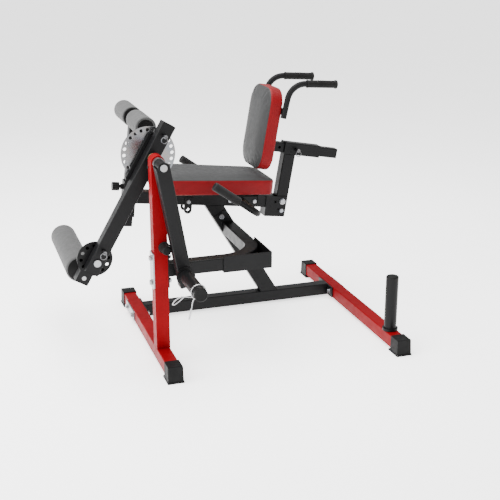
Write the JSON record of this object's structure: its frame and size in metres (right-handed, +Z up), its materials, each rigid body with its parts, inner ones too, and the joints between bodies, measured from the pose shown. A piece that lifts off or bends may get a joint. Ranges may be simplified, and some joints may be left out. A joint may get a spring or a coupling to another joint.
{
  "type": "plate-loaded leg extension and leg curl machine",
  "caption": "Plate-loaded leg extension and leg curl machine with a padded seat, sliding backrest, foam rollers and a pin-indexed lever.",
  "frame": {"origin": "centre of the bounding box in X and Y, on the floor", "axes": "+X towards the rear foot and the backrest, -X towards the leg lever, -Y towards the side that carries the weight plates, +Z up"},
  "size_m": [1.2165, 1.055, 0.965],
  "materials": {
    "red_paint": "semi-gloss red powder coat",
    "black_paint": "semi-gloss black powder coat",
    "matte_black": "matte black powder coat",
    "zinc": "bright zinc plate",
    "shaft_steel": "turned and plated steel",
    "cap_rubber": "moulded black rubber",
    "grip_rubber": "ribbed black rubber",
    "bush_plastic": "black nylon",
    "bronze": "sintered bronze",
    "foam": "closed-cell grey foam",
    "handle_foam": "closed-cell black foam",
    "vinyl": "dark grey vinyl with red sides",
    "board": "plywood"
  },
  "bodies": {
    "frame": {"front_foot": "red_paint", "rear_foot": "red_paint", "foot_caps": "cap_rubber", "base_beam": "black_paint", "backing_plates": "zinc", "frame_bolts": "zinc", "upright": "red_paint", "bumper_peg": "zinc", "bumper_sleeve": "cap_rubber", "pivot_housing": "shaft_steel", "pivot_bushes": "bronze", "side_tube": "black_paint", "corner_bracket": "black_paint", "slanted_post": "black_paint", "seat_rail": "black_paint", "rail_lugs": "black_paint", "holddown_sleeve": "black_paint", "seat_brackets": "black_paint", "seat_board": "board", "seat_pad": "vinyl", "side_handles": "black_paint", "side_grips": "handle_foam", "rail_bolts": "zinc", "storage_horn": "black_paint", "storage_horn_cap": "cap_rubber", "rear_bracket": "black_paint", "rear_bolts": "zinc", "back_post": "black_paint", "slide_bush": "bush_plastic"},
    "weight_arm": {"pivot_shaft": "shaft_steel", "index_disc": "zinc", "weight_arm": "black_paint", "weight_horn": "black_paint", "weight_horn_cap": "cap_rubber"},
    "lever": {"lever_tube": "black_paint", "lever_doubler": "black_paint", "lever_bush": "bronze", "joint_pin": "shaft_steel", "lever_plugs": "cap_rubber"},
    "lever_pin": {"lever_pin": "zinc"},
    "shin_pin": {"shin_pin": "zinc"},
    "roller_bracket": {"lower_disc": "black_paint", "roller_bracket": "black_paint", "shin_axle": "shaft_steel"},
    "shin_roller": {"shin_foam": "foam", "shin_end_caps": "cap_rubber"},
    "holddown": {"holddown_post": "black_paint", "thigh_bar": "zinc"},
    "near_thigh_roller": {"near_thigh_foam": "foam", "near_thigh_caps": "cap_rubber"},
    "far_thigh_roller": {"far_thigh_foam": "foam", "far_thigh_caps": "cap_rubber"},
    "holddown_knob": {"holddown_knob": "cap_rubber"},
    "backrest": {"back_slide": "black_paint", "back_board": "board", "back_pad": "vinyl", "back_handles": "matte_black", "back_grips": "grip_rubber"},
    "back_pin": {"back_pin": "zinc"},
    "spring_clip": {"spring_clip": "zinc"}
  },
  "joints": [
    {"name": "weight_arm_swing", "type": "hinge", "parent": "frame", "child": "weight_arm", "pos_m": [-0.30125, 0.2275, 0.756], "axis": [0, 1, 0], "range_deg": [-50, 0]},
    {"name": "lever_angle", "type": "hinge", "parent": "weight_arm", "child": "lever", "pos_m": [-0.30125, 0.2275, 0.756], "axis": [0, 1, 0], "range_deg": [0, 90]},
    {"name": "lever_pin_pull", "type": "slide", "parent": "lever", "child": "lever_pin", "axis": [0, -1, 0], "range_m": [0, 0.012], "stiffness_N_per_m": 800, "springref_m": -0.004},
    {"name": "roller_bracket_angle", "type": "hinge", "parent": "lever", "child": "roller_bracket", "pos_m": [-0.51525, 0.2275, 0.38534], "axis": [0, 1, 0], "range_deg": [-60, 90]},
    {"name": "shin_pin_pull", "type": "slide", "parent": "lever", "child": "shin_pin", "axis": [0, -1, 0], "range_m": [-0.006, 0.004]},
    {"name": "shin_roller_spin", "type": "hinge", "parent": "roller_bracket", "child": "shin_roller", "pos_m": [-0.55725, 0.2275, 0.3126], "axis": [0, 1, 0], "continuous": true},
    {"name": "holddown_slide", "type": "slide", "parent": "frame", "child": "holddown", "axis": [0.1132, 0, 0.9936], "range_m": [-0.1, 0.05]},
    {"name": "near_thigh_roller_spin", "type": "hinge", "parent": "holddown", "child": "near_thigh_roller", "pos_m": [-0.28293, 0.2275, 0.82993], "axis": [0, 1, 0], "continuous": true},
    {"name": "far_thigh_roller_spin", "type": "hinge", "parent": "holddown", "child": "far_thigh_roller", "pos_m": [-0.28293, 0.2275, 0.82993], "axis": [0, 1, 0], "continuous": true},
    {"name": "holddown_knob_turn", "type": "hinge", "parent": "frame", "child": "holddown_knob", "pos_m": [-0.35656, 0.2275, 0.56355], "axis": [-0.9936, 0, 0.1132], "continuous": true},
    {"name": "backrest_slide", "type": "slide", "parent": "frame", "child": "backrest", "axis": [0.9848, 0, -0.1736], "range_m": [-0.072, 0.036]},
    {"name": "back_pin_pull", "type": "slide", "parent": "frame", "child": "back_pin", "axis": [0, 1, 0], "range_m": [-0.004, 0.008]},
    {"name": "spring_clip_slide", "type": "slide", "parent": "weight_arm", "child": "spring_clip", "axis": [0, 1, 0], "range_m": [0, 0.14]}
  ]
}
